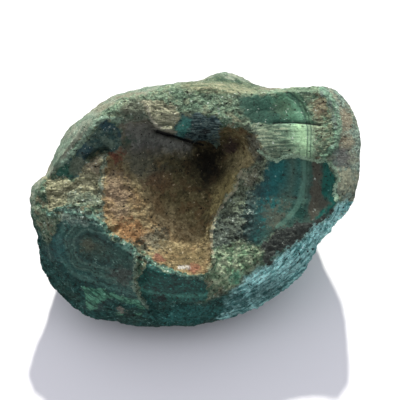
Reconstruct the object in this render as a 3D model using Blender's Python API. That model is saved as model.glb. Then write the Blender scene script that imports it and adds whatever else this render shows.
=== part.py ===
"""Malachite specimen: a broken nodule of massive malachite with an open vug in its upper face.

The nodule is one natural piece, so it is one solid. It is modelled in two frames.

The broken face frame has its origin on the vug's axis. A point of it is given by a bearing in
degrees (0 to the right, 90 to the back), a reach in millimetres from the axis, and a height in
millimetres out of the face. The face leans towards the front by FACE_LEAN.

The bench frame is the world: x to the right, y to the back, z up, with the bench at z = 0.
The flank and the foot of the stone are given in it, about the axis FOOT_AXIS.

Each ring below is a closed curve round the stone through its own few knots. The surface is the
skin over all the rings, from the vug's floor out over the rim and down to the foot.
"""

import math

import bmesh
import bpy
import numpy as np
from mathutils import Matrix, Vector, noise

MM = 0.001
NODE_NAME = "malachite_stone"

# Driving dimensions.
FACE_LEAN = math.radians(20.0)
FACE_HEIGHT = 33.2  # of the vug's axis over the bench, mm
FOOT_AXIS = (5.0, -1.0)  # x and y of the middle of the foot, mm
SPOKES = 128

# Surface irregularity of the main form, mm.
SWELL = 0.45
SWELL_SIZE = 9.0
KNAP = 0.22
KNAP_SIZE = 3.2

# Rings in the broken face frame, from the vug outwards: (bearing, reach, height).
VUG_FLOOR_HEIGHT = -5.5
VUG_FLOOR = [
    (0, 6.0, -8.2), (40, 6.0, -8.6), (80, 6.0, -6.0), (120, 6.0, -3.4), (160, 6.0, -1.6),
    (200, 6.0, -1.6), (240, 6.0, -3.2), (280, 6.0, -5.8), (320, 6.0, -7.6),
]
VUG_UNDERCUT = [
    (0, 10.5, -8.8), (20, 13.0, -10.3), (38, 15.5, -11.5), (52, 16.0, -10.0), (65, 16.2, -7.8),
    (80, 15.6, -5.4), (92, 14.0, -4.2), (105, 14.4, -3.4), (120, 14.0, -2.2), (150, 13.2, -0.7),
    (180, 12.0, -0.6), (210, 12.2, -1.0), (240, 12.0, -2.4), (268, 12.8, -4.4), (290, 13.4, -5.8),
    (310, 10.8, -7.4), (330, 9.2, -8.6),
]
VUG_WALL = [
    (0, 12.4, -7.2), (15, 14.0, -8.0), (30, 17.6, -8.4), (40, 17.0, -8.0), (50, 15.6, -5.0),
    (62, 14.6, -3.4), (75, 13.9, -2.6), (88, 12.6, -2.0), (100, 13.4, -1.6), (112, 15.6, -0.6),
    (130, 16.6, 0.0), (150, 16.2, 0.0), (180, 15.0, 0.0), (210, 15.4, -0.4), (230, 14.8, -1.2),
    (250, 15.2, -2.4), (272, 16.6, -3.0), (290, 17.4, -4.0), (303, 15.4, -4.6), (315, 12.4, -5.6),
    (332, 11.2, -7.0),
]
MOUTH = [
    (0, 14.8, -4.5), (10, 15.8, -4.0), (18, 18.5, -3.2), (25, 21.5, -2.2), (33, 22.4, -0.8),
    (42, 21.0, 1.0), (50, 20.0, 2.4), (60, 19.5, 3.2), (75, 18.3, 3.4), (82, 16.4, 3.0),
    (88, 14.2, 2.4), (96, 14.0, 2.4), (102, 15.0, 2.4), (108, 17.4, 2.4), (120, 19.2, 2.4),
    (130, 19.9, 1.9), (140, 19.6, 1.2), (150, 18.4, 0.9), (158, 17.8, 0.6), (168, 17.6, 0.2),
    (190, 17.6, 0.4), (205, 18.2, 0.7), (218, 18.0, 0.5), (232, 17.2, 0.0), (242, 17.3, -0.2),
    (256, 19.0, -0.3), (270, 19.8, -0.4), (282, 20.6, -0.6), (292, 20.9, -0.9), (302, 18.8, -1.8),
    (311, 15.0, -3.2), (320, 13.3, -4.0), (334, 12.7, -5.0), (347, 13.4, -5.0),
]
RIM = [
    (0, 21.0, -2.8), (12, 21.8, -2.4), (17, 23.0, -1.4), (22, 24.2, 0.6), (29, 24.6, 1.2),
    (36, 24.5, 1.8), (46, 22.4, 2.8), (57, 21.2, 3.6), (70, 20.4, 3.9), (84, 18.6, 3.6),
    (95, 17.6, 3.4), (105, 18.6, 3.4), (115, 20.4, 3.5), (127, 21.5, 3.5), (138, 21.4, 2.6),
    (147, 20.8, 1.5), (155, 20.2, 0.9), (163, 20.4, 0.2), (170, 21.2, -0.4), (180, 22.0, -0.2),
    (190, 21.5, 0.8), (198, 20.8, 1.3), (210, 19.3, 1.3), (222, 18.8, 1.0), (240, 18.3, 0.6),
    (252, 19.6, 0.5), (268, 20.8, 0.3), (284, 21.8, 0.1), (294, 21.9, -0.2), (303, 20.2, -0.8),
    (312, 18.2, -1.6), (325, 19.0, -2.2), (340, 20.4, -2.6),
]
FACET = [
    (0, 38.6, -2.4), (7, 38.2, -1.6), (11, 36.6, -0.8), (15, 35.0, 0.6), (22, 34.0, 0.8),
    (30, 35.0, 0.5), (38, 31.0, 1.0), (48, 26.0, 2.2), (60, 23.8, 3.2), (75, 22.4, 3.5),
    (90, 20.8, 3.4), (105, 20.8, 3.4), (120, 21.8, 3.7), (135, 22.6, 3.5), (147, 23.6, 2.6),
    (156, 24.2, 1.3), (165, 24.8, -0.5), (174, 26.5, -2.4), (184, 27.5, -2.2), (194, 26.5, -0.8),
    (202, 25.5, -1.6), (215, 25.5, -3.4), (230, 25.6, -4.0), (242, 25.5, -3.4), (248, 25.4, -2.4),
    (255, 25.4, -3.8), (268, 25.6, -4.6), (280, 25.5, -3.9), (287, 25.4, -2.6), (300, 24.6, -2.2),
    (315, 24.4, -2.8), (330, 26.5, -3.4), (342, 31.5, -3.8), (351, 36.8, -3.4),
]
SHOULDER = [
    (0, 43.0, -0.6), (8, 44.4, 0.3), (20, 45.5, 0.4), (28, 45.0, 0.3), (33, 43.0, 0.5),
    (37, 39.5, 0.8), (42, 35.0, 1.3), (50, 29.6, 1.9), (60, 27.0, 2.6), (75, 25.0, 3.1),
    (90, 23.3, 3.2), (105, 22.7, 3.3), (118, 22.9, 3.7), (130, 23.5, 3.8), (141, 24.6, 3.1),
    (150, 25.6, 2.2), (158, 26.6, 0.7), (166, 28.2, -1.4), (174, 29.2, -2.8), (181, 32.2, -3.2),
    (190, 32.6, -3.4), (197, 32.0, -4.0), (206, 32.8, -6.4), (218, 33.8, -8.4), (233, 34.0, -8.8),
    (243, 32.6, -8.2), (249, 31.2, -7.2), (256, 30.8, -8.4), (268, 30.2, -9.0), (279, 29.8, -8.0),
    (286, 29.0, -6.0), (293, 27.6, -4.4), (305, 28.0, -4.2), (320, 28.7, -4.2), (330, 29.8, -4.2),
    (337, 32.2, -4.2), (344, 35.0, -3.8), (352, 39.4, -2.4),
]
OUTLINE = [
    (0, 46.0, -2.8), (10, 47.2, -2.0), (20, 48.4, -1.8), (27, 48.2, -1.8), (32, 47.2, -2.2),
    (35, 44.2, -3.0), (40, 38.6, -4.4), (45, 34.4, -7.0), (50, 32.8, -9.4), (57, 32.4, -11.4),
    (65, 31.8, -11.8), (70, 29.4, -10.4), (75, 26.9, -8.5), (82, 25.8, -6.4), (92, 25.0, -5.0),
    (105, 24.9, -4.6), (120, 25.8, -4.6), (132, 26.2, -4.6), (143, 27.3, -4.8), (154, 29.4, -5.6),
    (165, 29.8, -6.6), (174, 30.2, -7.2), (178, 33.4, -6.0), (183, 34.2, -5.4), (190, 34.1, -5.6),
    (196, 33.5, -6.6), (202, 34.7, -8.6), (210, 36.5, -10.6), (222, 37.0, -12.0), (237, 37.6, -13.0),
    (243, 36.5, -13.0), (248, 35.0, -13.0), (257, 34.5, -13.0), (270, 33.9, -13.0),
    (282, 34.0, -13.0), (294, 35.0, -13.0), (305, 36.6, -12.4), (320, 37.9, -11.0),
    (330, 39.2, -9.0), (339, 39.0, -7.0), (346, 40.2, -5.6), (353, 44.4, -4.0),
]

# Rings in the bench frame, from the outline downwards: (bearing, reach from the foot axis, z).
FLANK = [
    (0, 38.4, 23.0), (15, 41.5, 25.0), (30, 43.4, 26.0), (42, 39.4, 26.0), (55, 35.6, 25.0),
    (68, 35.0, 24.0), (80, 32.2, 24.5), (95, 29.6, 26.0), (120, 31.0, 26.0), (150, 34.0, 23.0),
    (180, 35.5, 18.5), (200, 36.2, 13.0), (225, 33.0, 9.0), (250, 27.6, 7.0), (270, 25.4, 6.6),
    (295, 25.8, 7.0), (320, 28.2, 9.5), (340, 31.2, 15.5),
]
BELLY = [
    (0, 31.4, 12.5), (20, 35.0, 13.5), (35, 36.5, 14.0), (50, 34.5, 13.5), (68, 32.6, 13.0),
    (85, 29.6, 13.0), (100, 28.4, 13.0), (120, 29.0, 13.0), (150, 31.5, 12.0), (180, 32.0, 9.5),
    (205, 31.8, 6.5), (230, 28.6, 4.8), (250, 25.4, 3.9), (270, 23.6, 3.6), (300, 23.8, 3.9),
    (330, 25.6, 7.0),
]
HEEL = [
    (0, 26.4, 3.0), (30, 30.4, 3.5), (60, 28.0, 3.0), (90, 24.0, 3.0), (120, 25.0, 3.0),
    (150, 28.0, 2.8), (180, 28.8, 2.4), (205, 28.6, 2.0), (230, 26.0, 1.6), (270, 21.6, 1.4),
    (300, 22.0, 1.5), (330, 23.6, 2.2),
]
FOOT = [
    (0, 22.0), (40, 23.0), (75, 19.5), (110, 20.0), (145, 23.5), (180, 25.0), (215, 25.5),
    (250, 21.0), (275, 19.5), (300, 19.5), (335, 21.0),
]
FOOT_DEPTH = -2.0  # the foot ring lies below the bench, where the flat rest is broken off

# Rows of faces between one ring and the next, from the vug's floor to the foot.
ROWS = [3, 2, 2, 2, 4, 4, 2, 4, 3, 2, 2]


def closed_curve(knots, bearings):
    """Values at each bearing of a smooth closed curve through the knots, without overshoot."""
    knots = np.array(knots, float)
    turn = knots[:, 0]
    turn = np.concatenate([turn - 360.0, turn, turn + 360.0])
    values = np.vstack([knots[:, 1:]] * 3)
    step = np.diff(turn)[:, None]
    slope = np.diff(values, axis=0) / step
    before, after = slope[:-1], slope[1:]
    same_way = before * after > 0
    mean = 2.0 * before * after / np.where(same_way, before + after, 1.0)
    tangent = np.zeros_like(values)
    tangent[1:-1] = np.where(same_way, mean, 0.0)
    index = np.searchsorted(turn, bearings, side="right") - 1
    gap = step[index]
    t = (bearings - turn[index])[:, None] / gap
    return (
        values[index] * (1 + 2 * t) * (1 - t) ** 2
        + values[index + 1] * t * t * (3 - 2 * t)
        + tangent[index] * gap * t * (1 - t) ** 2
        + tangent[index + 1] * gap * t * t * (t - 1)
    )


def face_to_bench(across, up, out):
    """Bench coordinates of a point of the broken face frame, mm."""
    y = up * math.cos(FACE_LEAN) - out * math.sin(FACE_LEAN)
    z = FACE_HEIGHT + up * math.sin(FACE_LEAN) + out * math.cos(FACE_LEAN)
    return np.stack([across, y, z], axis=1)


def face_ring(knots, bearings):
    reach, height = closed_curve(knots, bearings).T
    angle = np.radians(bearings)
    return face_to_bench(reach * np.cos(angle), reach * np.sin(angle), height)


def bearings_from_foot(ring):
    """Bearings of a ring's points seen from the foot axis, so that the spokes run on unsheared."""
    angle = np.arctan2(ring[:, 1] - FOOT_AXIS[1], ring[:, 0] - FOOT_AXIS[0])
    return np.degrees(angle) % 360.0


def bench_ring(knots, bearings):
    reach, z = closed_curve(knots, bearings).T
    angle = np.radians(bearings)
    x = FOOT_AXIS[0] + reach * np.cos(angle)
    y = FOOT_AXIS[1] + reach * np.sin(angle)
    return np.stack([x, y, z], axis=1)


def stone_rings():
    """All the rings of the skin, in order, with the rows between the named ones filled in."""
    bearings = np.arange(SPOKES) * 360.0 / SPOKES
    foot = [(bearing, reach, FOOT_DEPTH) for bearing, reach in FOOT]
    named = [face_ring(k, bearings) for k in (VUG_FLOOR, VUG_UNDERCUT, VUG_WALL, MOUTH)]
    named += [face_ring(k, bearings) for k in (RIM, FACET, SHOULDER, OUTLINE)]
    bearings = bearings_from_foot(named[-1])
    named += [bench_ring(k, bearings) for k in (FLANK, BELLY, HEEL, foot)]
    rings, crisp = [named[0]], [False]
    for number, rows in enumerate(ROWS):
        inner, outer = named[number], named[number + 1]
        for row in range(1, rows + 1):
            share = row / rows
            rings.append(inner * (1 - share) + outer * share)
            crisp.append(row == rows)
    return rings, crisp


def skin(mesh):
    """The closed skin over the rings. Returns the vertices that the relaxing may move."""
    rings, crisp = stone_rings()
    rows = [[mesh.verts.new(Vector(p) * MM) for p in ring] for ring in rings]
    middle = np.array([[0.0], [0.0], [VUG_FLOOR_HEIGHT]])
    centre = mesh.verts.new(Vector(face_to_bench(*middle)[0]) * MM)
    for i in range(SPOKES):
        j = (i + 1) % SPOKES
        mesh.faces.new((centre, rows[0][i], rows[0][j]))
        for inner, outer in zip(rows, rows[1:]):
            mesh.faces.new((inner[i], outer[i], outer[j], inner[j]))
    mesh.faces.new(reversed(rows[-1]))
    free = [v for row, kept in zip(rows[:-1], crisp) if not kept for v in row]
    return free + [centre]


def swell_and_knap(mesh):
    """Moves the skin in and out along its normals, as weathering and breaking leave it."""
    mesh.normal_update()
    moves = []
    for vert in mesh.verts:
        place = vert.co / MM
        swell = noise.noise(place / SWELL_SIZE)
        knap = noise.noise(place / KNAP_SIZE + Vector((17.0, 5.0, 31.0)))
        moves.append(vert.normal * (SWELL * swell + KNAP * knap) * MM)
    for vert, move in zip(mesh.verts, moves):
        vert.co += move


def break_off_rest(mesh):
    """Cuts the stone off flat at the bench and closes the cut with one face."""
    geometry = mesh.verts[:] + mesh.edges[:] + mesh.faces[:]
    cut = bmesh.ops.bisect_plane(
        mesh, geom=geometry, plane_co=(0, 0, 0), plane_no=(0, 0, -1), clear_outer=True
    )
    edges = [e for e in cut["geom_cut"] if isinstance(e, bmesh.types.BMEdge)]
    bmesh.ops.holes_fill(mesh, edges=edges, sides=0)


def centre_on_box(mesh):
    """Puts the origin at the middle of the box's underside."""
    places = np.array([v.co for v in mesh.verts])
    low, high = places.min(axis=0), places.max(axis=0)
    middle = (low + high) / 2
    shift = Vector((-middle[0], -middle[1], -low[2]))
    bmesh.ops.transform(mesh, matrix=Matrix.Translation(shift), verts=mesh.verts)


def malachite():
    material = bpy.data.materials.new("malachite")
    material.use_nodes = True
    surface = material.node_tree.nodes["Principled BSDF"]
    surface.inputs["Base Color"].default_value = (0.035, 0.115, 0.085, 1.0)
    surface.inputs["Roughness"].default_value = 0.6
    surface.inputs["Metallic"].default_value = 0.0
    return material


def malachite_stone():
    mesh = bmesh.new()
    free = skin(mesh)
    for _ in range(2):
        bmesh.ops.smooth_vert(
            mesh, verts=free, factor=0.5, use_axis_x=True, use_axis_y=True, use_axis_z=True
        )
    swell_and_knap(mesh)
    break_off_rest(mesh)
    centre_on_box(mesh)
    bmesh.ops.recalc_face_normals(mesh, faces=mesh.faces)
    data = bpy.data.meshes.new(NODE_NAME)
    mesh.to_mesh(data)
    mesh.free()
    data.shade_smooth()
    data.set_sharp_from_angle(angle=math.radians(35.0))
    data.materials.append(malachite())
    stone = bpy.data.objects.new(NODE_NAME, data)
    bpy.context.scene.collection.objects.link(stone)


for old in list(bpy.data.objects):
    bpy.data.objects.remove(old)
malachite_stone()
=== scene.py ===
"""Malachite specimen: a broken nodule with an open vug, on a pale bench, lit low from behind."""

import math

import bpy
import numpy as np
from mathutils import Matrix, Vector


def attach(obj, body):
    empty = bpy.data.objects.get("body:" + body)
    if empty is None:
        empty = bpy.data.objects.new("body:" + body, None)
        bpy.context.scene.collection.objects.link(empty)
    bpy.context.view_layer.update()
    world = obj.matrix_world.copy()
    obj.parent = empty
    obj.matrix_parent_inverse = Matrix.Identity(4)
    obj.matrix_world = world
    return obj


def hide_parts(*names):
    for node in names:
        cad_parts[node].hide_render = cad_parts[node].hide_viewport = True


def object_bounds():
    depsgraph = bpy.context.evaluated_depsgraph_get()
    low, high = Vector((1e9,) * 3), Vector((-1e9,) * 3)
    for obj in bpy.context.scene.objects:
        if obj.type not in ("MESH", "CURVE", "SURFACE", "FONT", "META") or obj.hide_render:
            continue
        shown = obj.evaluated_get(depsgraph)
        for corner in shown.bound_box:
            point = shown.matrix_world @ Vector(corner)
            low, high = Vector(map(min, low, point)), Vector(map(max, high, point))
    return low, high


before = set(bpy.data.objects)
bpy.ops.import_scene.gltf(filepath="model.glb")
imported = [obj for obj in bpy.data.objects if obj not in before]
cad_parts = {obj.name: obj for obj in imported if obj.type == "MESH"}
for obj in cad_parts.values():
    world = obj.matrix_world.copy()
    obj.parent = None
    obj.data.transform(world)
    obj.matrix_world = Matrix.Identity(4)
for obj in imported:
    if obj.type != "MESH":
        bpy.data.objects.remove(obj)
cad_low, cad_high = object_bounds()

# ---------------------------------------------------------------------------------------------
# The nodule. It is one lump of massive malachite, about 80 mm long, broken open across an ochre
# vug. Its form is the CAD solid's, rebuilt as an even fine mesh, which the later sections carve.
# The broken face leans to the front: across, up and out are measured along it from the vug.
MM = 0.001
SAME_POINT = 0.01 * MM
MESH_SIZE = 0.43 * MM
RELAX_ROUNDS = 4
FACE_LEAN = math.radians(20.0)
VUG_FROM_LOW_CORNER = Vector((34.75, 27.25, 33.15)) * MM

bpy.ops.object.select_all(action="DESELECT")
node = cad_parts["malachite_stone"]
stone = node.copy()
stone.data = node.data.copy()
stone.name = "malachite_nodule"
bpy.context.scene.collection.objects.link(stone)
stone.hide_render = False
stone.select_set(True)
bpy.context.view_layer.objects.active = stone
bpy.ops.object.mode_set(mode="EDIT")
bpy.ops.mesh.select_all(action="SELECT")
bpy.ops.mesh.remove_doubles(threshold=SAME_POINT)
bpy.ops.object.mode_set(mode="OBJECT")
stone.data.remesh_voxel_size = MESH_SIZE
bpy.ops.object.voxel_remesh()
relax = stone.modifiers.new("relax", "SMOOTH")
relax.factor = 0.5
relax.iterations = RELAX_ROUNDS
bpy.ops.object.modifier_apply(modifier="relax")

vug = Vector(cad_low) + VUG_FROM_LOW_CORNER
face_across = np.array((1.0, 0.0, 0.0))
face_up = np.array((0.0, math.cos(FACE_LEAN), math.sin(FACE_LEAN)))
face_out = np.array((0.0, -math.sin(FACE_LEAN), math.cos(FACE_LEAN)))


# ---------------------------------------------------------------------------------------------
# The regions of the stone, lined with ochre, crusted, freshly broken or weathered. Each is kept as
# a short outline in mm on the broken face, across and up from the vug, and at every point of the
# mesh as its distance from that outline, which is positive inside.
OUTLINES = {
    "lining": [
        (-16.5, 5.5), (-15.5, 8), (-13.5, 9), (-12.5, 11.5), (-12, 16), (-5.5, 17), (-3.5, 14.5),
        (0.5, 13), (6, 11.5), (11, 10), (11, 14.5), (16.5, 15), (20, 13), (22, 9), (19.5, 5.5),
        (16.5, 4), (15.5, 0), (13, -2.5), (10.5, -7), (9.5, -11.5), (10, -16.5), (8.5, -20),
        (6, -21), (1.5, -20), (-3, -18.5), (-6, -15.5), (-10, -13.5), (-14.5, -11), (-16, -8),
        (-16.5, -4), (-17, 0.5),
    ],
    "grey_wall": [
        (-12, 16.5), (-5.5, 17), (-3, 14.5), (4, 12), (4, 9), (-3, 9), (-8, 9), (-12.5, 10),
    ],
    "slope": [
        (16.5, 4), (19.5, 5.5), (22, 9), (23.5, 7.5), (22, 3), (20.5, 0.5), (19.8, -4), (19.6, -9),
        (18.0, -13), (13, -14), (10, -15), (9.5, -11.5), (10.5, -7), (13, -2.5), (15.5, 0),
    ],
    "patch": [
        (10, -15), (13, -14), (16.5, -12.5), (20, -14), (22, -15), (21, -18), (18, -20),
        (16.5, -22.5), (13.5, -24.5), (10.5, -23.5), (8.5, -20.5), (10, -16.5),
    ],
    "bright": [
        (16, 22.5), (20, 22.5), (24, 22.5), (27.5, 23.5), (30, 23.5), (32, 22), (33, 19.5),
        (34, 17), (36, 15.5), (34.5, 14), (34.5, 7), (31, 8), (27.5, 7.5), (25, 7), (22.5, 8),
        (21, 9.5), (19.5, 13), (19, 16.5), (16.5, 19),
    ],
    "brown": [
        (32, 22.5), (35.5, 23.5), (37, 22), (38.5, 18), (39, 14), (38.5, 10.5), (36, 9),
        (34.5, 7.5), (34.5, 14), (35.5, 15.5), (34, 18), (33, 20),
    ],
    "rim": [
        (37, 27), (42, 25), (46, 20), (49, 14), (50, 8), (49, 2), (46, -3), (42, -2.5),
        (40, -1.5), (39.5, 0.5), (40.5, 3), (39, 5.5), (38, 7.5), (39, 10.5), (39.5, 14),
        (38.5, 18.5), (37, 22), (35.5, 24.5),
    ],
    "lower": [
        (22.5, 7.5), (25, 7), (27.5, 7.5), (31, 8), (35, 7), (37, 7), (39, 5), (40, 3),
        (39.5, -0.5), (40, -3), (38, -6), (34.5, -8.5), (30, -9), (26.5, -9.5), (23.5, -11.5),
        (22, -14), (18, -12.5), (17.5, -9), (18, -3), (19.5, 0.5), (22, 3), (23.5, 7),
    ],
    "wedge_brown": [
        (34, 7.5), (36, 7), (36, -0.5), (38.5, -3), (35.5, -6.5), (34, -8.5), (33, -4), (34, -0.5),
    ],
    "black": [
        (22, -14), (23.5, -11.5), (26.5, -9.5), (30, -8.5), (34.5, -8), (38, -5.5), (40, -4),
        (37, -7.5), (33.5, -9.5), (31, -12), (28.5, -14), (26.5, -15), (24, -18), (22, -18.5),
    ],
    "flank": [
        (40, -3.5), (43.5, -2), (48, -2), (47, -9), (43, -13), (40, -17), (37, -21.5),
        (33, -26.5), (27, -32), (21, -34), (14, -33), (13, -28.5), (15.5, -24.5), (18, -22),
        (21, -19.5), (24, -18), (28.5, -14), (33.5, -9.5), (37, -7.5),
    ],
    "left_break": [
        (-31, -15), (-29, -11.5), (-27.5, -8.5), (-26, -7), (-22.5, -7.5), (-18.5, -7.5),
        (-17, -9), (-14.5, -11), (-14.5, -12.5), (-10, -14), (-9, -15), (-9, -20), (-9.5, -23.5),
        (-8, -27), (-6, -29), (-10, -28.5), (-14, -27.5), (-17.5, -29), (-21, -28.5),
        (-23.5, -27), (-26, -23.5), (-28.5, -20), (-30.5, -17),
    ],
    "lens": [
        (-24, -25.5), (-21.5, -24.5), (-17.5, -24.5), (-13, -25.5), (-9, -27), (-6.5, -29.5),
        (-9, -29), (-13, -27.5), (-16.5, -27), (-19, -28.5), (-22, -27.5),
    ],
    "front_break": [
        (-6, -18), (-2, -19.5), (2, -21), (7, -21.5), (8.5, -22.5), (8.5, -27), (5.5, -28),
        (0.5, -27), (-3, -28), (-5.5, -28.5), (-7, -26), (-8.5, -23), (-7.5, -20),
    ],
    "saddle": [
        (-31, 3), (-28, 2), (-23, 2.5), (-20, 7), (-16.5, 9), (-17, 5.5), (-17.5, 0.5),
        (-17.5, -3), (-21, -3.5), (-26, -4), (-30, -5),
    ],
    "wedge": [
        (-28, 4), (-27, 6.5), (-24.5, 7.5), (-22.5, 9.5), (-18.5, 14), (-16.5, 17), (-14.5, 16.5),
        (-12.5, 13.5), (-12.5, 10.5), (-14.5, 9), (-16.5, 9.5), (-18.5, 9), (-21, 7),
        (-22.5, 4.5), (-23, 2.5), (-26, 3),
    ],
    "wall": [
        (1, 14.5), (2.5, 17.5), (5.5, 18), (9.5, 17.5), (12, 15.5), (11, 12.5), (9.5, 11),
        (6, 11.5), (1, 13),
    ],
    "tongue": [
        (-7, 21.5), (-3, 21.5), (0.5, 20.5), (2, 18.5), (1.5, 15), (-0.5, 14), (-3.5, 14.5),
        (-5, 17), (-6.5, 19),
    ],
    "bump": [
        (4, 26), (8, 30), (13, 33), (18, 30), (21.5, 27), (22, 24), (16.5, 23.5), (10.5, 24),
        (6.5, 24),
    ],
}
SKIN_EDGE = [
    (-31, 2.5), (-28, 5), (-25, 9), (-21.5, 13), (-17, 18), (-14.5, 19.5), (-12, 21.5),
    (-6.5, 22.5), (-3, 24), (3, 25.5), (8, 24.5), (16.5, 24), (22, 24), (30, 25.5),
]
CREST = [
    (-30, -6), (-27, -4.5), (-23.5, -6), (-19.5, -6.5), (-16.5, -8.5), (-14.5, -11),
    (-10, -13.5), (-8.5, -15.5), (-5.5, -17.5), (-1.5, -19), (2.5, -21), (7, -21.5),
]
INNER_REGIONS = ("lining", "grey_wall", "slope", "wall", "tongue", "wedge", "patch", "saddle")
CREST_HALF_WIDTH = 1.3
FARTHEST = 4.0
RAGGED_BY = 0.7
SWAY_BY = 5.0
BUMP_SWAY_BY = 3.0
TURNED_AWAY = 0.05
TURN_SHARPNESS = 12.0
VUG_DEPTH = 17.0
BACK_SHOULDER = 9.0


def places():
    """Every vertex of the stone, in mm from the vug's axis."""
    flat = np.empty(len(stone.data.vertices) * 3)
    stone.data.vertices.foreach_get("co", flat)
    return (flat.reshape(-1, 3) - np.array(vug)) / MM


def normals():
    flat = np.empty(len(stone.data.vertices) * 3)
    stone.data.vertex_normals.foreach_get("vector", flat)
    return flat.reshape(-1, 3)


def smooth_step(value, low, high):
    share = np.clip((value - low) / (high - low), 0.0, 1.0)
    return share * share * (3.0 - 2.0 * share)


def scattered(cells, salt):
    """A fixed number from 0 to 1 for each cell of a grid."""
    mixed = cells[:, 0] * 73856093 ^ cells[:, 1] * 19349663 ^ cells[:, 2] * 83492791 ^ salt * 977
    mixed = (mixed ^ (mixed >> 13)) * 1274126177
    mixed = (mixed ^ (mixed >> 15)) * 668265263
    return ((mixed ^ (mixed >> 16)) & 0xFFFF) / 65535.0


def roughness_of(points, size, seed, octaves=1):
    """Smooth noise from about -1 to 1 at points in mm, with lumps of about the given size."""
    total = np.zeros(len(points))
    for octave in range(octaves):
        spots = points / size * 2.0**octave + 31.7 * seed
        cells = np.floor(spots).astype(np.int64)
        rest = spots - cells
        ease = rest**3 * (rest * (rest * 6.0 - 15.0) + 10.0)
        for corner in range(8):
            step = np.array((corner & 1, corner >> 1 & 1, corner >> 2 & 1))
            weight = np.where(step, ease, 1.0 - ease).prod(axis=1)
            slope = [scattered(cells + step, seed * 3 + axis) * 2.0 - 1.0 for axis in range(3)]
            total += weight * ((rest - step) * np.stack(slope, axis=1)).sum(axis=1) / 1.6**octave
    return total * 1.6


def inside(outline, flat):
    """Distance in mm from a closed outline on the face, positive inside it."""
    corners = np.array(outline, float)
    nearest = np.full(len(flat), 1e9)
    within = np.zeros(len(flat), bool)
    for a, b in zip(corners, np.roll(corners, -1, axis=0)):
        side = b - a
        share = np.clip(((flat - a) @ side) / (side @ side), 0.0, 1.0)
        gap = np.linalg.norm(flat - a - share[:, None] * side, axis=1)
        nearest = np.minimum(nearest, gap)
        crosses = (a[1] > flat[:, 1]) != (b[1] > flat[:, 1])
        if a[1] != b[1]:
            x = a[0] + (flat[:, 1] - a[1]) / (b[1] - a[1]) * side[0]
            within ^= crosses & (flat[:, 0] < x)
    return np.where(within, nearest, -nearest)


def beside(line, flat):
    """Distance from an open line, the share of the way along it, and which side (left is +)."""
    corners = np.array(line, float)
    runs = np.linalg.norm(np.diff(corners, axis=0), axis=1)
    starts = np.concatenate([[0.0], np.cumsum(runs)])
    nearest = np.full(len(flat), 1e9)
    along = np.zeros(len(flat))
    left = np.zeros(len(flat))
    for i, (a, b) in enumerate(zip(corners, corners[1:])):
        side = b - a
        share = np.clip(((flat - a) @ side) / (side @ side), 0.0, 1.0)
        off = flat - a - share[:, None] * side
        gap = np.linalg.norm(off, axis=1)
        closer = gap < nearest
        nearest = np.where(closer, gap, nearest)
        along = np.where(closer, (starts[i] + share * runs[i]) / starts[-1], along)
        turn = side[0] * (flat[:, 1] - a[1]) - side[1] * (flat[:, 0] - a[0])
        left = np.where(closer, np.sign(turn), left)
    return nearest, along, left


here = places()
away = normals()
out = here @ face_out
flat = np.stack([here @ face_across, here @ face_up], axis=1)
facing = away @ face_out
wander = np.stack([roughness_of(here, 2.2, 1), roughness_of(here, 2.2, 2)], axis=1)
wander += 0.5 * np.stack([roughness_of(here, 0.9, 3), roughness_of(here, 0.9, 4)], axis=1)
loose = flat + RAGGED_BY * wander

# A region of the vug also ends where the stone turns its back on the face, and a region outside
# it ends a little below the shoulder.
from_axis = flat / np.maximum(np.linalg.norm(flat, axis=1), 1.0)[:, None]
leans_in = -(from_axis[:, 0] * (away @ face_across) + from_axis[:, 1] * (away @ face_up))
turned = TURN_SHARPNESS * (facing + TURNED_AWAY)
turned_in = TURN_SHARPNESS * (facing + TURNED_AWAY + 1.5 * np.maximum(leans_in, 0.0))
opens = np.minimum(turned_in, out + VUG_DEPTH)
outside = np.minimum(turned, np.where(here[:, 1] > 0.0, (out + BACK_SHOULDER) / 1.5, 9.0))
drift = roughness_of(here, 8.0, 5, 2)[:, None]
deep_down = smooth_step(out, -5.0, -13.0)[:, None]
limits = {
    "flank": 5.0 * (facing + 0.3) + 0.6 * wander[:, 1],
    "rim": (out + 11.0 + 3.0 * wander[:, 0]) / 3.0,
    "bump": np.minimum(turned, (out + 8.0 + 4.0 * wander[:, 1]) / 3.0),
}
region = {}
for name, outline in OUTLINES.items():
    limit = limits.get(name, opens if name in INNER_REGIONS else outside)
    spots = loose + (SWAY_BY * deep_down + BUMP_SWAY_BY * (name == "bump")) * drift
    region[name] = np.clip(np.minimum(inside(outline, spots), limit), -FARTHEST, FARTHEST)

# The skin lies behind its edge on the face, and it covers the back of the stone lower down.
skin_gap, _, skin_side = beside(SKIN_EDGE, loose)
back = np.where(flat[:, 1] > -2.0, skin_gap * skin_side, -FARTHEST)
low_back = np.minimum(-4.0 - out, (here[:, 1] + 1.5 + SWAY_BY * drift[:, 0]) / 8.0)
region["skin"] = np.clip(np.maximum(back, low_back), -FARTHEST, FARTHEST)
region["crest"] = np.clip(CREST_HALF_WIDTH - beside(CREST, flat)[0], -FARTHEST, FARTHEST)


def share_of(name, soft=0.5):
    """How much of a region is at each vertex, from 0 to 1, with a soft edge in mm."""
    return smooth_step(region[name], -soft, soft)


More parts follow.
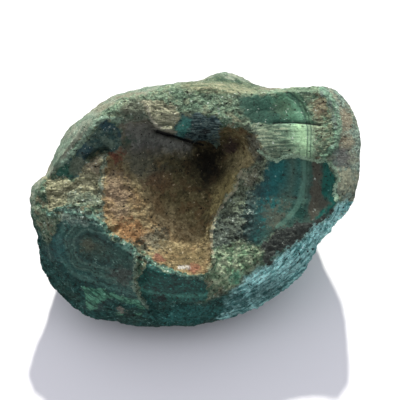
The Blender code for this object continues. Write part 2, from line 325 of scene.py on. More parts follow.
# ---------------------------------------------------------------------------------------------
# The relief of the breaks. Malachite breaks in shell-shaped facets with steps and sharp ribs: each
# is a line in mm on the face, carved in or raised. The ledge crosses the right of the face, and
# two ribs part the facets under the front crest.
LEDGE = [
    (21, 9.5), (23.5, 7.5), (25.5, 7), (27.5, 8), (31, 8), (34.5, 7), (37.5, 7), (39.5, 5),
    (40.5, 2.5), (39.5, 0), (40, -2.5),
]
FIRST_RIB = [(-9, -15), (-9, -20), (-9.5, -23.5), (-8, -26.5), (-6, -29)]
SECOND_RIB = [(8, -21), (8.5, -25), (8, -28)]
VUG_LIP = [(17, 5), (15.5, 0), (13, -2.5), (10.5, -7), (9.5, -11.5), (10, -16)]
SLOT = [(-20.0, 7.5), (-18, 8.7), (-16.2, 9.3)]
SPLIT = [(24.5, 16), (28.5, 16.2), (32.5, 16), (36, 15.5)]
UNDERCUT = [(-3.6, 14.2), (-1.7, 13.5), (0.7, 13.0), (4.4, 11.7), (7.5, 11.0)]
NOTCH = [(-15.0, -10.2), (-13.2, -9.4)]
SADDLE_RIB = [(-32, -0.5), (-27, 0.5), (-22, 3.0), (-18.5, 6.5), (-16.5, 8.0)]
CRUST_RIB = [(-16.4, 8.5), (-16.6, 4.0), (-17.4, -4.0)]
WEDGE_EDGE = [(-26.8, 6.2), (-22.8, 10.2), (-19.4, 15.0), (-16.0, 17.5), (-12.8, 16.6)]
LOW_ARC = [(32.2, 7.0), (32.3, 2.5), (31.6, -1.5), (30.0, -4.8), (27.6, -7.6), (25.6, -9.2)]
RIM_RIB = [(36.5, 24.5), (39.1, 21.5), (40.6, 15.6), (39.6, 10.5), (36.8, 8.0)]
TONGUE_EDGE = [(-6.0, 20.0), (-5.0, 17.0), (-3.6, 15.0), (-1.0, 14.4), (0.8, 13.8)]
ARC = [
    (28.2, 23.1), (31.1, 20.9), (32.6, 17.8), (33.3, 14.6), (33.1, 9.2), (33.1, 3.2),
    (32.8, -1.7),
]

# Small swells and hollows of the outline: the bearing round the face in degrees, and mm.
SWELLS = [
    (0, 0.0), (30, 0.4), (40, -0.6), (60, 0.5), (100, 0.65), (140, 0.8), (155, -0.6), (170, 0.0),
    (190, 0.65), (200, 0.1), (210, 0.8), (225, 0.2), (300, -0.5), (318, 0.3), (330, -0.5),
    (360, 0.0),
]
MIDDLE_OF_FACE = (4.4, -2.9)
STEP_UP, STEP_DOWN = 0.50, 0.65
SCOOP_DEPTH, SCOOP_FROM_RIB, SCOOP_WIDTH = 0.9, 1.7, 1.2
FOOT_KEPT, FOOT_FADE = 0.25, 1.6

around = flat - np.array(MIDDLE_OF_FACE)
bearing = np.degrees(np.arctan2(around[:, 1], around[:, 0])) % 360.0
swell = np.interp(bearing, *zip(*SWELLS)) * smooth_step(facing, 0.75, 0.15)
around /= np.maximum(np.linalg.norm(around, axis=1), 1.0)[:, None]
offset = np.outer(swell * around[:, 0], face_across) + np.outer(swell * around[:, 1], face_up)
top = smooth_step(facing, -0.1, 0.2)
on_face = smooth_step(opens, -1.0, 1.0)


def move(offsets):
    """Moves every vertex by an offset in mm, and less and less towards the flat foot."""
    here = places()
    above = here[:, 2] + vug.z / MM
    hold = np.clip((above - FOOT_KEPT) / FOOT_FADE, 0.0, 1.0)[:, None]
    here = here + offsets * hold
    flat = (here * MM + np.array(vug)).reshape(-1)
    stone.data.vertices.foreach_set("co", flat)
    stone.data.update()


def carve(line, depth, width, spots=loose, limit=1.0):
    """A groove along a line, depth and half width in mm: a negative depth is a rib."""
    gap = beside(line, spots)[0]
    groove = np.exp(-((np.minimum(gap, 9.0) / width) ** 2)) * limit * on_face
    return np.outer(-depth * groove, face_out)


gap, share, side = beside(LEDGE, loose)
ends = smooth_step(share, 0.0, 0.12) * smooth_step(share, 1.0, 0.8)
step = np.exp(-np.maximum(gap - 0.2, 0.0) / 2.0) * ends * top * smooth_step(gap, 0.0, 0.30)
offset += np.outer(np.where(side > 0, STEP_UP, -STEP_DOWN) * step, face_out)
gap, _, side = beside(FIRST_RIB, loose)
scoop = np.exp(-(((gap - SCOOP_FROM_RIB) / SCOOP_WIDTH) ** 2)) * top * (side > 0)
offset -= np.outer(SCOOP_DEPTH * scoop, face_out)
offset += carve(FIRST_RIB, -1.0, 0.8, limit=top)
offset += carve(SECOND_RIB, -0.7, 0.8, limit=top)
offset += carve(VUG_LIP, -0.8, 0.6, limit=smooth_step(out, -9.0, -6.5))
offset += carve(SLOT, 3.4, 0.95, flat)
offset += carve(SPLIT, 0.45, 0.32, flat)
offset += carve(UNDERCUT, 1.5, 0.42, flat)
offset += carve(NOTCH, 1.4, 0.6, flat)
offset += carve(SADDLE_RIB, -0.8, 0.9, limit=top)
offset += carve(CRUST_RIB, -0.5, 0.5, limit=top)
offset += carve(TONGUE_EDGE, -0.6, 0.45)
offset += carve(RIM_RIB, -0.5, 0.7, limit=top)
offset += carve(ARC, 0.25, 0.45, flat, top)
offset += carve(WEDGE_EDGE, -0.4, 0.6, limit=top)
offset += carve(CREST, -0.25, 0.7, loose)
move(offset)

# ---------------------------------------------------------------------------------------------
# The surface. The lining and the crusts are rough and granular, the fresh breaks nearly smooth,
# and the weathered flanks are streaked and knobbly: each adds its own height in mm.
PIT_SIZE, PIT_DEPTH = 0.2, 0.06


def crystals_of(points, size, seed):
    """Angular grains of about the given size, each with its own height from -1 to 1."""
    spots = points / size + 17.3 * seed
    cells = np.floor(spots).astype(np.int64)
    nearest = np.full(len(points), 9.0)
    height = np.zeros(len(points))
    for step in np.ndindex(3, 3, 3):
        near = cells + np.array(step) - 1
        middle = near + np.stack([scattered(near, seed * 5 + axis) for axis in range(3)], axis=1)
        gap = np.linalg.norm(spots - middle, axis=1)
        closer = gap < nearest
        height = np.where(closer, scattered(near, seed * 5 + 3) * 2.0 - 1.0, height)
        nearest = np.where(closer, gap, nearest)
    return height


here = places()
away = normals()
lumps = roughness_of(here, 5.0, 11)
clods = roughness_of(here, 2.4, 12, 2)
grit = roughness_of(here, 1.2, 13, 2)
streaks = roughness_of(here * np.array((0.45, 1.0, 1.0)), 1.4, 15, 2)
ridges = 1.0 - 2.0 * np.abs(roughness_of(here, 1.8, 16, 2))
crystals = crystals_of(here + 0.3 * roughness_of(here, 0.8, 18)[:, None], 1.25, 17)
flakes = crystals_of(here * np.array((0.5, 1.0, 1.0)), 2.6, 19)

lining = share_of("lining") * (1.0 - share_of("grey_wall"))
grey = share_of("grey_wall")
breaks = ("bright", "lower", "left_break", "front_break")
fresh = np.maximum.reduce([share_of(name) for name in breaks])
smooth_parts = np.maximum.reduce([fresh, share_of("wedge"), share_of("wall"), grey])
smooth_parts *= 1.0 - share_of("slope")
rough = share_of("slope") + share_of("crest") + share_of("patch")
crusted = np.clip(1.0 - smooth_parts - lining - share_of("skin"), 0.0, 1.0)
flanks = smooth_step(facing, 0.35, -0.1)

height = lining * (0.28 * lumps + 0.16 * clods + 0.22 * grit + 0.09 * crystals)
height += crusted * (0.18 * clods + 0.18 * grit + 0.14 * crystals) * (1.0 - 0.5 * flanks)
height += np.clip(rough, 0.0, 1.0) * (0.10 * ridges + 0.12 * grit + 0.12 * crystals)
height += smooth_parts * (0.12 * lumps + 0.06 * clods + 0.03 * grit + 0.08 * flakes)
height += share_of("skin") * (0.26 * lumps + 0.16 * clods + 0.10 * grit)
height -= share_of("rim") * (0.14 * clods + 0.12 * grit + 0.12 * crystals)
height += flanks * (0.22 * lumps + 0.12 * clods + 0.10 * streaks)
height += share_of("flank") * (0.16 * streaks + 0.08 * grit)
coarse_parts = np.clip(1.0 - smooth_parts, 0.0, 1.0)
jitter = scattered(np.round(here / PIT_SIZE).astype(np.int64), 23) * 2.0 - 1.0
height += PIT_DEPTH * jitter * coarse_parts * (1.0 - share_of("skin")) * (1.0 - share_of("rim"))
move(away * height[:, None])

# The fresh breaks and the skin shade smooth, the crusts and the lining keep every small facet.
face_corners = np.empty(len(stone.data.loops), np.int64)
stone.data.loops.foreach_get("vertex_index", face_corners)
first_corner = np.empty(len(stone.data.polygons), np.int64)
stone.data.polygons.foreach_get("loop_start", first_corner)
keep_facets = (coarse_parts * (1.0 - share_of("skin")))[face_corners[first_corner]] > 0.5
stone.data.polygons.foreach_set("use_smooth", ~keep_facets)

# Growth coordinates in mm: the bands lie in shells round the vug, and on the left round a core.
SHELL_CENTRE = (2.9, 5.5)
CORE_LINE = [(-19.5, -13.5), (-9.0, -17.0)]
CORE_LENGTH = 11.0
LINE_REACH = 5.0

here = places()
out = here @ face_out
flat = np.stack([here @ face_across, here @ face_up], axis=1)
reach = flat - np.array(SHELL_CENTRE)
shell = np.sqrt((reach**2).sum(axis=1) + (0.6 * (out + 6.0)) ** 2)
turn = np.arctan2(reach[:, 1], reach[:, 0]) * 30.0
core_gap, core_share, _ = beside(CORE_LINE, flat)
core = np.sqrt(core_gap**2 + (0.5 * (out + 7.0)) ** 2)


def store(name, values):
    attribute = stone.data.attributes.new(name, "FLOAT", "POINT")
    attribute.data.foreach_set("value", np.ascontiguousarray(values, np.float32))


for name, values in region.items():
    store(name, values)
store("shell", shell)
store("turn", turn)
store("core", core)
store("core_along", core_share * CORE_LENGTH)
store("out", out)
for name, line in (
    ("crest_line", CREST), ("lip_line", VUG_LIP), ("arc_line", ARC), ("crack_line", SPLIT),
    ("undercut_shade", UNDERCUT), ("tongue_line", TONGUE_EDGE), ("crust_line", CRUST_RIB),
    ("wedge_line", WEDGE_EDGE), ("low_arc", LOW_ARC), ("rib_line", FIRST_RIB),
    ("ledge_line", LEDGE), ("rim_line", RIM_RIB),
):
    gap = np.minimum(beside(line, flat)[0], LINE_REACH)
    store(name, np.where(on_face > 0.5, gap, LINE_REACH))
store("on_face", on_face)

# ---------------------------------------------------------------------------------------------
# The stone's minerals, in one material: banded malachite on the fresh breaks, and over it the
# crusts, the skin and the lining, each with its own grain and gloss. Every length is in mm, and
# the layers lie one on another in the order in which they are written.
WHITE_GRAIN = (0.42, 0.48, 0.40)
BLACK_GRAIN = (0.010, 0.012, 0.009)
DULL, SATIN = 0.85, 0.52
ROUGH_BUMP, SMOOTH_BUMP = 1.0, 0.30
BUMP_HEIGHT = 0.5 * MM

malachite = bpy.data.materials.new("malachite")
malachite.use_nodes = True
nodes = malachite.node_tree.nodes
links = malachite.node_tree.links
nodes.clear()
surface = nodes.new("ShaderNodeBsdfPrincipled")
output = nodes.new("ShaderNodeOutputMaterial")
links.new(surface.outputs["BSDF"], output.inputs["Surface"])
to_mm = nodes.new("ShaderNodeVectorMath")
to_mm.operation = "SCALE"
to_mm.inputs["Scale"].default_value = 1.0 / MM
links.new(nodes.new("ShaderNodeTexCoord").outputs["Object"], to_mm.inputs[0])
place = to_mm.outputs["Vector"]


def put(value, socket):
    if isinstance(value, bpy.types.NodeSocket):
        links.new(value, socket)
    elif value is not None:
        socket.default_value = value


def math_of(kind, a, b=None, c=None):
    made = nodes.new("ShaderNodeMath")
    made.operation = kind
    put(a, made.inputs[0])
    put(b, made.inputs[1])
    put(c, made.inputs[2])
    return made.outputs[0]


def attribute_of(name):
    made = nodes.new("ShaderNodeAttribute")
    made.attribute_name = name
    return made.outputs["Fac"]


def along(x, y=None, z=None):
    """A vector of lengths in mm."""
    made = nodes.new("ShaderNodeCombineXYZ")
    put(x, made.inputs[0])
    put(y, made.inputs[1])
    put(z, made.inputs[2])
    return made.outputs[0]


def speckle(size_mm, vector=None, detail=3.0, rough=0.62):
    """Noise from 0 to 1 with lumps of about size_mm."""
    made = nodes.new("ShaderNodeTexNoise")
    made.inputs["Scale"].default_value = 1.0 / size_mm
    made.inputs["Detail"].default_value = detail
    made.inputs["Roughness"].default_value = rough
    links.new(vector or place, made.inputs["Vector"])
    return made.outputs["Fac"]


def grain_of(size_mm):
    """Angular grains of about size_mm, each with its own value from 0 to 1."""
    made = nodes.new("ShaderNodeTexVoronoi")
    made.inputs["Scale"].default_value = 1.0 / size_mm
    links.new(place, made.inputs["Vector"])
    parts = nodes.new("ShaderNodeSeparateColor")
    links.new(made.outputs["Color"], parts.inputs["Color"])
    return parts.outputs["Red"]


def ramp(value, low, high):
    """0 below low, 1 above high, smooth between."""
    made = nodes.new("ShaderNodeMapRange")
    made.interpolation_type = "SMOOTHSTEP"
    put(value, made.inputs["Value"])
    made.inputs["From Min"].default_value = low
    made.inputs["From Max"].default_value = high
    return made.outputs["Result"]


def part_of(share, most):
    return math_of("MULTIPLY", share, most)


def blend(share, under, over):
    """The colour over laid on the colour under, by a share from 0 to 1."""
    made = nodes.new("ShaderNodeMix")
    made.data_type = "RGBA"
    put(share, made.inputs["Factor"])
    for value, socket in ((under, made.inputs["A"]), (over, made.inputs["B"])):
        put((*value, 1.0) if isinstance(value, tuple) else value, socket)
    return made.outputs["Result"]


def blend_value(share, under, over):
    made = nodes.new("ShaderNodeMix")
    put(share, made.inputs["Factor"])
    put(under, made.inputs["A"])
    put(over, made.inputs["B"])
    return made.outputs["Result"]


def bands(value, stops):
    """A colour ramp along a length in mm: stops are (mm, colour)."""
    low, high = stops[0][0], stops[-1][0]
    made = nodes.new("ShaderNodeValToRGB")
    scaled = math_of("DIVIDE", math_of("SUBTRACT", value, low), high - low)
    links.new(scaled, made.inputs["Fac"])
    spots = made.color_ramp.elements
    while len(spots) < len(stops):
        spots.new(0.5)
    for spot, (length, colour) in zip(spots, stops):
        spot.position = (length - low) / (high - low)
        spot.color = (*colour, 1.0)
    return made.outputs["Color"]


fine_grain = grain_of(0.42)
coarse_grain = grain_of(0.95)
fine = speckle(0.45)
medium = speckle(1.6)
coarse = speckle(5.0, None, 2.0, 0.5)
ragged = math_of("SUBTRACT", speckle(1.3, None, 4.0, 0.75), 0.5)
wavy = math_of("SUBTRACT", speckle(4.0, None, 3.0, 0.6), 0.5)
flecks = speckle(0.7, None, 3.0, 0.7)
grains = math_of("MULTIPLY_ADD", fine_grain, 0.62, part_of(coarse_grain, 0.38))
clusters = math_of("MULTIPLY_ADD", math_of("SUBTRACT", flecks, 0.5), 1.9, grains)


def grainy(colour, contrast, whites, white=WHITE_GRAIN, blacks=0.06):
    """The colour broken up into light and dark grains, with a share of them white or black."""
    made = nodes.new("ShaderNodeHueSaturation")
    put((*colour, 1.0) if isinstance(colour, tuple) else colour, made.inputs["Color"])
    put(math_of("MULTIPLY_ADD", grains, contrast, 1.0 - 0.5 * contrast), made.inputs["Value"])
    broken = blend(ramp(clusters, 1.08 - whites, 1.20 - whites), made.outputs["Color"], white)
    return blend(ramp(clusters, -0.02 + blacks, -0.12 + blacks), broken, BLACK_GRAIN)


def cover(name, rag=1.4, soft=0.22):
    """Share of a region, with a ragged edge."""
    return ramp(math_of("MULTIPLY_ADD", ragged, rag * 3.0, attribute_of(name)), -soft, soft)


def vector_math(kind, a, b=None):
    made = nodes.new("ShaderNodeVectorMath")
    made.operation = kind
    put(a, made.inputs[0])
    put(b, made.inputs[1])
    return made


# Lengths in mm from the vug's axis, across and up the broken face.
from_vug = vector_math("SUBTRACT", place, vug / MM).outputs["Vector"]
face_u = vector_math("DOT_PRODUCT", from_vug, face_across).outputs["Value"]
face_v = vector_math("DOT_PRODUCT", from_vug, face_up).outputs["Value"]
face_point = along(face_u, face_v)
wobble = math_of("MULTIPLY_ADD", ragged, 3.5, part_of(wavy, 2.5))


def dab(spot, size, turn=0.0, rag=1.0, soft=0.45):
    """Share of a ragged oval on the face: its middle and half sizes in mm, turned in degrees."""
    cos, sin = math.cos(math.radians(turn)), math.sin(math.radians(turn))
    shifted = vector_math("SUBTRACT", face_point, (*spot, 0.0)).outputs["Vector"]
    long_way = vector_math("DOT_PRODUCT", shifted, (cos / size[0], sin / size[0], 0.0))
    short_way = vector_math("DOT_PRODUCT", shifted, (-sin / size[1], cos / size[1], 0.0))
    reach = vector_math("LENGTH", along(long_way.outputs["Value"], short_way.outputs["Value"]))
    edge = math_of("MULTIPLY_ADD", wobble, rag, reach.outputs["Value"])
    return ramp(edge, 1.0 + soft, 1.0 - soft)


def daub(under, over, share, spot, size, turn=0.0, rag=1.0, soft=0.45):
    """The colour over laid in such an oval on the colour under."""
    return blend(part_of(dab(spot, size, turn, rag, soft), share), under, over)


def line_of(name, width, rag=0.5, most=1.0):
    """Share of a thin ragged line of the given half width in mm."""
    gap = math_of("MULTIPLY_ADD", ragged, rag * 2.0, attribute_of(name))
    return part_of(ramp(gap, width * 1.35, width * 0.65), most)


# Growth patterns that the layers share, and the massive dark green malachite under them all.
warp = math_of("MULTIPLY", math_of("SUBTRACT", medium, 0.5), 0.7)
shell_mm = math_of("ADD", attribute_of("shell"), warp)
round_mm = attribute_of("turn")
fibres = speckle(0.45, along(part_of(shell_mm, 0.12), round_mm, attribute_of("out")), 2.0)
layers = speckle(0.6, along(shell_mm, part_of(round_mm, 0.04)))
core_mm = math_of("MULTIPLY_ADD", wavy, 2.2, math_of("ADD", attribute_of("core"), warp))
swirls = speckle(0.6, along(core_mm, part_of(attribute_of("core_along"), 0.05)))
flow = along(attribute_of("shell"), part_of(round_mm, 0.20), part_of(attribute_of("out"), 0.6))
streaks_mm = speckle(0.6, flow, 4.0, 0.68)
stripes = speckle(0.45, along(part_of(face_u, 0.14), face_v, attribute_of("out")), 3.0, 0.6)

colour = blend(ramp(medium, 0.38, 0.62), (0.009, 0.042, 0.035), (0.024, 0.092, 0.078))
colour = blend(part_of(ramp(coarse, 0.48, 0.60), 0.6), colour, (0.026, 0.060, 0.045))
colour = blend(part_of(ramp(streaks_mm, 0.54, 0.66), 0.6), colour, (0.045, 0.150, 0.130))
colour = grainy(colour, 1.3, 0.12, (0.16, 0.32, 0.28))

# The mottled crust on the face, green with white and tan grains.
crust = blend(ramp(medium, 0.40, 0.60), (0.055, 0.110, 0.068), (0.155, 0.205, 0.130))
crust = blend(part_of(ramp(speckle(2.6), 0.52, 0.60), 0.7), crust, (0.200, 0.175, 0.105))
crust = blend(part_of(ramp(face_v, 14.0, 20.0), 0.45), crust, (0.190, 0.280, 0.180))
crust = grainy(crust, 1.3, 0.15)
colour = blend(ramp(attribute_of("out"), -7.0, -4.5), colour, crust)

# The weathered flanks: turquoise streaks over dark green.
flank = blend(ramp(streaks_mm, 0.36, 0.62), (0.072, 0.265, 0.250), (0.50, 0.90, 0.86))
flank = grainy(flank, 1.0, 0.10, (0.62, 0.80, 0.78))
deep = blend(ramp(streaks_mm, 0.36, 0.64), (0.007, 0.040, 0.044), (0.040, 0.155, 0.140))
deep = grainy(deep, 0.9, 0.05, (0.35, 0.55, 0.52))
# The flank turns to the deep green towards its lower, outer part and away from its upper edge:
# partly the stone's own dark green, partly painted shade.
low_flank_shade = math_of("MULTIPLY_ADD", face_v, 1.0, part_of(face_u, -0.62))
low_flank_shade = math_of("MULTIPLY_ADD", wavy, 12.0, low_flank_shade)
flank = blend(ramp(low_flank_shade, -48.0, -38.0), deep, flank)
flank = blend(part_of(ramp(attribute_of("flank"), 2.2, 3.9), 0.3), flank, deep)
flank = daub(flank, (0.030, 0.065, 0.062), 0.5, (21.5, -25.4), (7.0, 1.6), 34.0, 1.2, 0.8)
flank = daub(flank, (0.014, 0.075, 0.070), 0.8, (15.5, -28.4), (5.0, 2.6), 20.0, 1.2, 0.8)
colour = blend(cover("flank", 0.9, 1.3), colour, flank)

# The skin of the back, pale and weathered, with the dark knob and the tan strip at its edge.
skin = blend(ramp(coarse, 0.4, 0.6), (0.150, 0.215, 0.150), (0.225, 0.255, 0.185))
skin = blend(part_of(ramp(streaks_mm, 0.5, 0.62), 0.7), skin, (0.075, 0.140, 0.095))
skin = blend(part_of(ramp(fibres, 0.55, 0.65), 0.5), skin, (0.300, 0.340, 0.260))
skin = blend(part_of(ramp(speckle(9.0), 0.50, 0.62), 0.5), skin, (0.185, 0.165, 0.100))
skin = blend(part_of(ramp(speckle(6.0), 0.55, 0.66), 0.5), skin, (0.060, 0.120, 0.085))
skin = grainy(skin, 0.6, 0.08)
colour = blend(cover("skin", 0.8), colour, skin)
knob = blend(ramp(medium, 0.40, 0.60), (0.030, 0.066, 0.037), (0.093, 0.134, 0.073))
colour = blend(part_of(cover("bump", 1.2, 0.8), 0.95), colour, grainy(knob, 1.0, 0.12))
strip = blend(ramp(stripes, 0.42, 0.58), (0.115, 0.155, 0.090), (0.275, 0.280, 0.168))
on_top = math_of("MULTIPLY", dab((11.5, 24.6), (8.5, 1.4), -4.0, 0.3), attribute_of("on_face"))
colour = blend(on_top, colour, grainy(strip, 0.5, 0.08))

# The bright break on the upper right: fibres, a mint band, and darker green above the crack.
bright = bands(shell_mm, [
    (12.0, (0.24, 0.30, 0.20)), (18.0, (0.39, 0.48, 0.31)), (22.0, (0.19, 0.255, 0.16)),
    (25.5, (0.125, 0.21, 0.13)), (28.0, (0.25, 0.41, 0.24)), (30.4, (0.36, 0.58, 0.32)),
    (31.2, (0.26, 0.42, 0.25)), (32.6, (0.23, 0.33, 0.20)), (34.0, (0.22, 0.25, 0.15)),
])
streaky = blend_value(ramp(shell_mm, 25.0, 30.0), 0.75, 0.2)
dark_fibres = math_of("MULTIPLY", ramp(stripes, 0.50, 0.55), streaky)
bright = blend(dark_fibres, bright, (0.056, 0.096, 0.064))
pale_fibres = math_of("MULTIPLY", ramp(stripes, 0.44, 0.38), streaky)
bright = blend(pale_fibres, bright, (0.36, 0.42, 0.27))
bright = blend(part_of(ramp(layers, 0.55, 0.66), 0.35), bright, (0.045, 0.10, 0.07))
darker = bands(shell_mm, [
    (18.0, (0.040, 0.088, 0.060)), (26.0, (0.034, 0.100, 0.066)), (29.0, (0.062, 0.160, 0.092)),
    (31.0, (0.110, 0.250, 0.150)), (32.0, (0.060, 0.140, 0.085)), (32.6, (0.120, 0.23, 0.13)),
    (33.4, (0.05, 0.12, 0.07)), (34.0, (0.12, 0.19, 0.11)),
])
darker = daub(darker, (0.100, 0.120, 0.066), 0.3, (26.5, 19.5), (2.2, 1.6))
upper = ramp(math_of("MULTIPLY_ADD", ragged, 2.0, face_v), 15.6, 16.2)
bright = blend(upper, bright, darker)
bright = grainy(bright, 0.7, 0.10)
colour = blend(cover("bright", 1.4, 0.6), colour, bright)

# The brown outer bands and the weathered rim at the far right.
brown = blend(ramp(fibres, 0.42, 0.58), (0.125, 0.140, 0.084), (0.250, 0.335, 0.210))
brown = blend(part_of(ramp(medium, 0.52, 0.62), 0.8), brown, (0.095, 0.180, 0.110))
brown = daub(brown, (0.220, 0.165, 0.100), 0.6, (36.0, 20.0), (1.6, 2.6))
colour = blend(cover("brown", 0.8), colour, grainy(brown, 0.7, 0.06))
rim = blend(ramp(fibres, 0.42, 0.58), (0.115, 0.165, 0.130), (0.225, 0.310, 0.240))
rim = blend(part_of(ramp(wavy, 0.0, 0.08), 0.5), rim, (0.235, 0.225, 0.145))
rim = daub(rim, (0.225, 0.175, 0.108), 0.7, (42.0, 17.0), (1.9, 2.8))
rim = daub(rim, (0.250, 0.205, 0.130), 0.7, (42.0, 11.5), (2.0, 1.8))
rim = daub(rim, (0.125, 0.125, 0.115), 0.8, (41.8, 7.5), (2.6, 2.0))
rim = daub(rim, (0.370, 0.380, 0.250), 0.8, (41.5, 2.0), (3.2, 2.6))
rim = blend(part_of(ramp(streaks_mm, 0.54, 0.64), 0.5), rim, (0.060, 0.110, 0.085))
colour = blend(cover("rim", 0.9), colour, grainy(rim, 0.8, 0.07))

# The dark facet below the ledge, its thin pale arc, and the black crust under it.
lower = bands(shell_mm, [
    (14.0, (0.018, 0.070, 0.066)), (20.0, (0.010, 0.086, 0.084)), (24.0, (0.012, 0.108, 0.098)),
    (26.5, (0.052, 0.108, 0.080)), (28.2, (0.028, 0.108, 0.086)), (28.9, (0.060, 0.150, 0.110)),
    (29.5, (0.032, 0.108, 0.080)), (30.4, (0.070, 0.150, 0.105)), (31.2, (0.026, 0.080, 0.060)),
    (33.5, (0.045, 0.070, 0.048)), (34.2, (0.007, 0.095, 0.070)), (38.0, (0.006, 0.085, 0.065)),
])
lower = blend(part_of(ramp(layers, 0.52, 0.66), 0.35), lower, (0.065, 0.155, 0.120))
lower = blend(part_of(ramp(coarse, 0.50, 0.62), 0.5), lower, (0.042, 0.078, 0.058))
lower = daub(lower, (0.080, 0.088, 0.060), 0.8, (24.8, -5.8), (3.4, 3.0), 20.0, 1.4)
lower = daub(lower, (0.018, 0.045, 0.040), 0.85, (19.2, -5.0), (2.8, 9.0), -6.0, 1.2, 0.7)
lower = daub(lower, (0.008, 0.050, 0.036), 0.9, (31.0, -5.5), (1.2, 2.0), 30.0)
lower = daub(lower, (0.016, 0.030, 0.026), 0.7, (20.8, 4.5), (1.4, 3.6), -20.0)
lower = grainy(lower, 0.8, 0.03, (0.16, 0.34, 0.30))
colour = blend(cover("lower", 0.9, 0.5), colour, lower)
lower_brown = part_of(cover("wedge_brown", 0.7, 0.5), 0.9)
colour = blend(lower_brown, colour, grainy((0.070, 0.066, 0.046), 0.8, 0.02))
colour = blend(line_of("low_arc", 0.6, 0.5, 0.45), colour, (0.130, 0.280, 0.200))
colour = blend(cover("black", 1.6), colour, grainy((0.050, 0.060, 0.050), 1.1, 0.07))

# The left break, banded round its own core, and the green lens at its foot.
left = bands(core_mm, [
    (0.0, (0.048, 0.064, 0.044)), (1.6, (0.032, 0.070, 0.052)), (2.4, (0.062, 0.084, 0.056)),
    (3.2, (0.022, 0.056, 0.042)), (4.4, (0.013, 0.050, 0.042)), (5.0, (0.056, 0.120, 0.094)),
    (5.5, (0.016, 0.058, 0.046)), (6.6, (0.056, 0.125, 0.096)), (7.3, (0.010, 0.052, 0.044)),
    (8.6, (0.048, 0.135, 0.108)), (9.2, (0.009, 0.050, 0.042)), (13.0, (0.008, 0.045, 0.040)),
])
left = blend(part_of(ramp(swirls, 0.52, 0.64), 0.5), left, (0.070, 0.145, 0.110))
left = blend(part_of(ramp(swirls, 0.47, 0.36), 0.7), left, (0.005, 0.024, 0.020))
left = daub(left, (0.062, 0.075, 0.045), 0.8, (-20.5, -13.8), (1.8, 1.5))
left = daub(left, (0.030, 0.080, 0.062), 0.7, (-12.2, -16.4), (3.2, 2.2), -15.0, 0.5)
left = daub(left, (0.060, 0.062, 0.050), 0.6, (-12.5, -21.0), (3.0, 1.6), -10.0)
left = daub(left, (0.022, 0.095, 0.090), 0.6, (-27.5, -15.0), (2.0, 4.0), 10.0)
left = grainy(left, 1.1, 0.08, (0.14, 0.25, 0.20))
colour = blend(cover("left_break", 0.9), colour, left)
lens = blend(ramp(streaks_mm, 0.44, 0.56), (0.010, 0.065, 0.040), (0.085, 0.270, 0.165))
lens = grainy(lens, 0.9, 0.06, (0.20, 0.46, 0.33))
colour = blend(part_of(cover("lens", 0.8), 0.85), colour, lens)

# The front break, under the vug's front lip.
front = bands(shell_mm, [
    (24.0, (0.004, 0.042, 0.033)), (28.0, (0.005, 0.052, 0.040)), (30.8, (0.008, 0.062, 0.048)),
    (31.6, (0.035, 0.145, 0.108)), (32.3, (0.008, 0.068, 0.052)), (34.0, (0.009, 0.068, 0.056)),
    (35.0, (0.011, 0.060, 0.055)), (38.0, (0.013, 0.115, 0.108)),
])
front = blend(part_of(ramp(layers, 0.52, 0.66), 0.4), front, (0.022, 0.100, 0.080))
front = daub(front, (0.004, 0.010, 0.009), 0.9, (-2.8, -26.4), (1.3, 1.2))
front = grainy(front, 1.6, 0.12, (0.05, 0.28, 0.24))
colour = blend(cover("front_break", 0.7), colour, front)
pale = part_of(dab((-12.4, -29.4), (1.3, 0.8), -10.0), 0.8)
colour = blend(pale, colour, grainy((0.210, 0.200, 0.160), 0.9, 0.05))

# The saddle on the left and the tongue over the vug, both pale and fibrous.
saddle = blend(ramp(stripes, 0.42, 0.58), (0.150, 0.155, 0.085), (0.360, 0.355, 0.215))
# A lighter tan spot on the saddle's ridge, which faces the key lamp: painted highlight.
saddle = daub(saddle, (0.300, 0.260, 0.165), 0.9, (-18.8, 6.4), (1.8, 2.2), 30.0)
saddle = daub(saddle, (0.090, 0.150, 0.115), 0.6, (-20.0, -2.5), (5.0, 1.8))
colour = blend(cover("saddle", 1.4), colour, grainy(saddle, 1.0, 0.11))
tongue = blend(ramp(stripes, 0.42, 0.6), (0.175, 0.190, 0.115), (0.400, 0.400, 0.265))
colour = blend(cover("tongue", 0.9), colour, grainy(tongue, 0.9, 0.12))

# Three spots by themselves: a speckled crest on the left, a teal foot and dust over the vug.
speckled = part_of(dab((-23.0, -6.3), (5.0, 1.7), -5.0), 0.8)
colour = blend(speckled, colour, grainy((0.170, 0.250, 0.200), 1.6, 0.22))
teal = part_of(dab((3.5, -30.5), (8.0, 2.2), 3.0), 0.7)
colour = blend(teal, colour, grainy((0.026, 0.128, 0.114), 1.4, 0.08, (0.10, 0.38, 0.34)))
dusty = part_of(dab((-9.0, 19.8), (3.2, 1.8)), 0.6)
colour = blend(dusty, colour, grainy((0.130, 0.122, 0.088), 1.0, 0.06))

# The vug: ochre lining, olive towards the rim's shadow, partly oxide and partly painted shade,
# painted black shade in the hollow, and the grey wall behind it.
ochre = blend(ramp(medium, 0.40, 0.62), (0.225, 0.170, 0.082), (0.370, 0.300, 0.155))
ochre = blend(part_of(ramp(coarse, 0.50, 0.62), 0.5), ochre, (0.290, 0.185, 0.084))
ochre = daub(ochre, (0.255, 0.190, 0.125), 0.7, (-12.8, -1.0), (3.0, 5.5))
ochre = daub(ochre, (0.300, 0.155, 0.062), 0.75, (-9.5, -11.0), (4.5, 2.8), -20.0)
ochre = daub(ochre, (0.165, 0.170, 0.115), 0.8, (-3.8, -12.5), (3.2, 2.6), -30.0)
